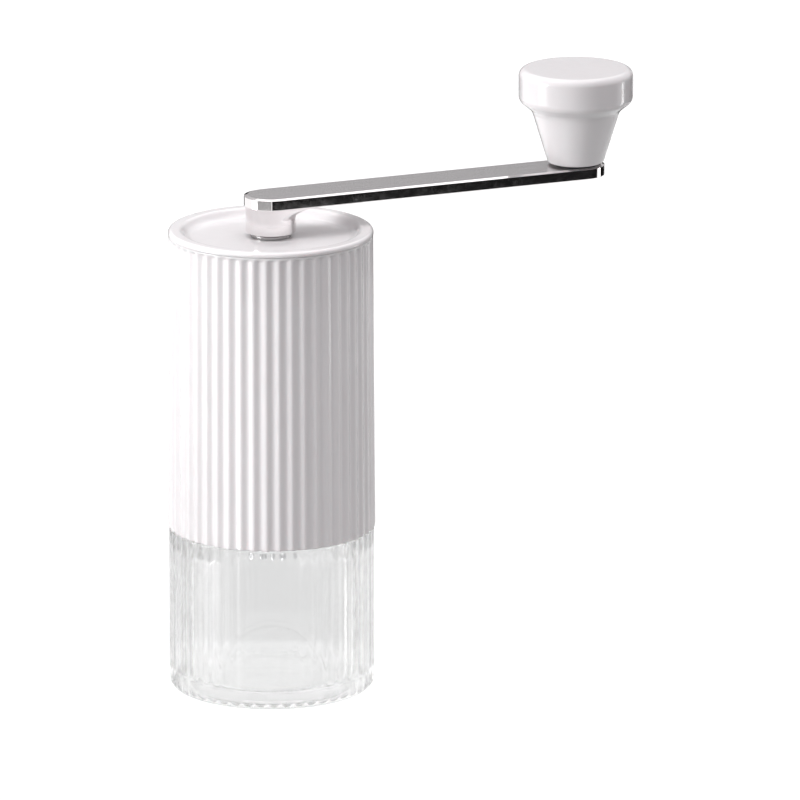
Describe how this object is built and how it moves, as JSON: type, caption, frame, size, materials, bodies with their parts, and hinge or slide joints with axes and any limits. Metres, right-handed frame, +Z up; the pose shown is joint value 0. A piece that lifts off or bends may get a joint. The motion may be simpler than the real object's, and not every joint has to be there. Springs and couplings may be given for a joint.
{
  "type": "hand crank coffee grinder",
  "caption": "Upright hand coffee grinder: ribbed white body on a clear ribbed catch jar, a metal crank arm with a white knob on the lid, conical burrs inside.",
  "frame": {"origin": "on the grinder's axis, at the face of the jar's foot that rests on the table", "axes": "+Z up along the axis, +X from the axis along the crank arm to the knob, +Y to the left of the arm"},
  "size_m": [0.1388, 0.0584, 0.17],
  "materials": {
    "clear_glass": "clear, polished, ribbed outside",
    "white_gloss": "glossy moulded",
    "crank_chrome": "polished, satin on the arm's flat top",
    "soft_seal": "translucent silicone, matt",
    "pale_plastic": "fine matt texture, off-white",
    "dark_plastic": "fine matt texture",
    "cast_aluminium": "fine bead-blasted",
    "burr_steel": "ground, slightly dark",
    "liner_steel": "brushed round the sleeve",
    "shaft_steel": "turned",
    "bearing_steel": "polished",
    "screw_steel": "bright zinc",
    "spring_steel": "spring steel, slightly dark"
  },
  "bodies": {
    "jar": {"catch_jar": "clear_glass"},
    "seal": {"jar_seal": "soft_seal"},
    "housing": {"body_shell": "white_gloss", "burr_carrier": "pale_plastic", "carrier_clip": "spring_steel", "outer_burr": "burr_steel", "burr_screws": "screw_steel", "lower_bridge": "cast_aluminium", "bridge_screws": "screw_steel", "hopper_liner": "liner_steel", "upper_bridge": "cast_aluminium", "upper_bearing_outer": "bearing_steel", "lower_bearing_outer": "bearing_steel"},
    "lid": {"lid": "white_gloss", "lid_bush": "crank_chrome", "lid_seal": "soft_seal"},
    "crank": {"crank_arm": "crank_chrome", "drive_socket": "shaft_steel", "socket_clip": "spring_steel", "knob_pin": "crank_chrome", "knob_washer": "dark_plastic"},
    "knob": {"knob": "white_gloss", "knob_bush": "dark_plastic", "knob_clip": "spring_steel"},
    "shaft": {"drive_shaft": "shaft_steel", "shaft_clip": "spring_steel", "upper_bearing_inner": "bearing_steel", "upper_bearing_balls": "bearing_steel", "lower_bearing_inner": "bearing_steel", "lower_bearing_balls": "bearing_steel", "burr_spring": "spring_steel", "spring_washer": "spring_steel", "end_clip": "spring_steel"},
    "burr": {"inner_burr": "burr_steel", "index_plate": "burr_steel"},
    "dial": {"adjusting_dial": "pale_plastic", "detent_balls": "bearing_steel", "detent_springs": "spring_steel"}
  },
  "joints": [
    {"name": "body_rise", "type": "slide", "parent": "jar", "child": "seal", "axis": [0, 0, 1], "range_m": [0, 0.0121]},
    {"name": "body_unscrew", "type": "hinge", "parent": "seal", "child": "housing", "pos_m": [0, 0, 0.0465], "axis": [0, 0, 1], "range_deg": [0, 1080]},
    {"name": "lid_lift", "type": "slide", "parent": "housing", "child": "lid", "axis": [0, 0, 1], "range_m": [0, 0.045]},
    {"name": "crank_turn", "type": "hinge", "parent": "lid", "child": "crank", "pos_m": [0, 0, 0.1318], "axis": [0, 0, 1], "continuous": true},
    {"name": "knob_spin", "type": "hinge", "parent": "crank", "child": "knob", "pos_m": [0.0934, 0, 0.1431], "axis": [0, 0, 1], "continuous": true},
    {"name": "shaft_spin", "type": "hinge", "parent": "housing", "child": "shaft", "pos_m": [0, 0, 0.1], "axis": [0, 0, 1], "continuous": true},
    {"name": "burr_travel", "type": "slide", "parent": "shaft", "child": "burr", "axis": [0, 0, 1], "range_m": [-0.0016, 0.0004], "deforming": ["burr_spring"]},
    {"name": "dial_turn", "type": "hinge", "parent": "burr", "child": "dial", "pos_m": [0, 0, 0.05], "axis": [0, 0, 1], "range_deg": [-721, 181]}
  ],
  "couplings": [
    {"joint": "body_rise", "follows": "body_unscrew", "m_per_rad": 0.00063662},
    {"joint": "shaft_spin", "follows": "crank_turn", "ratio": 1},
    {"joint": "dial_turn", "follows": "burr_travel", "rad_per_m": 7854}
  ]
}
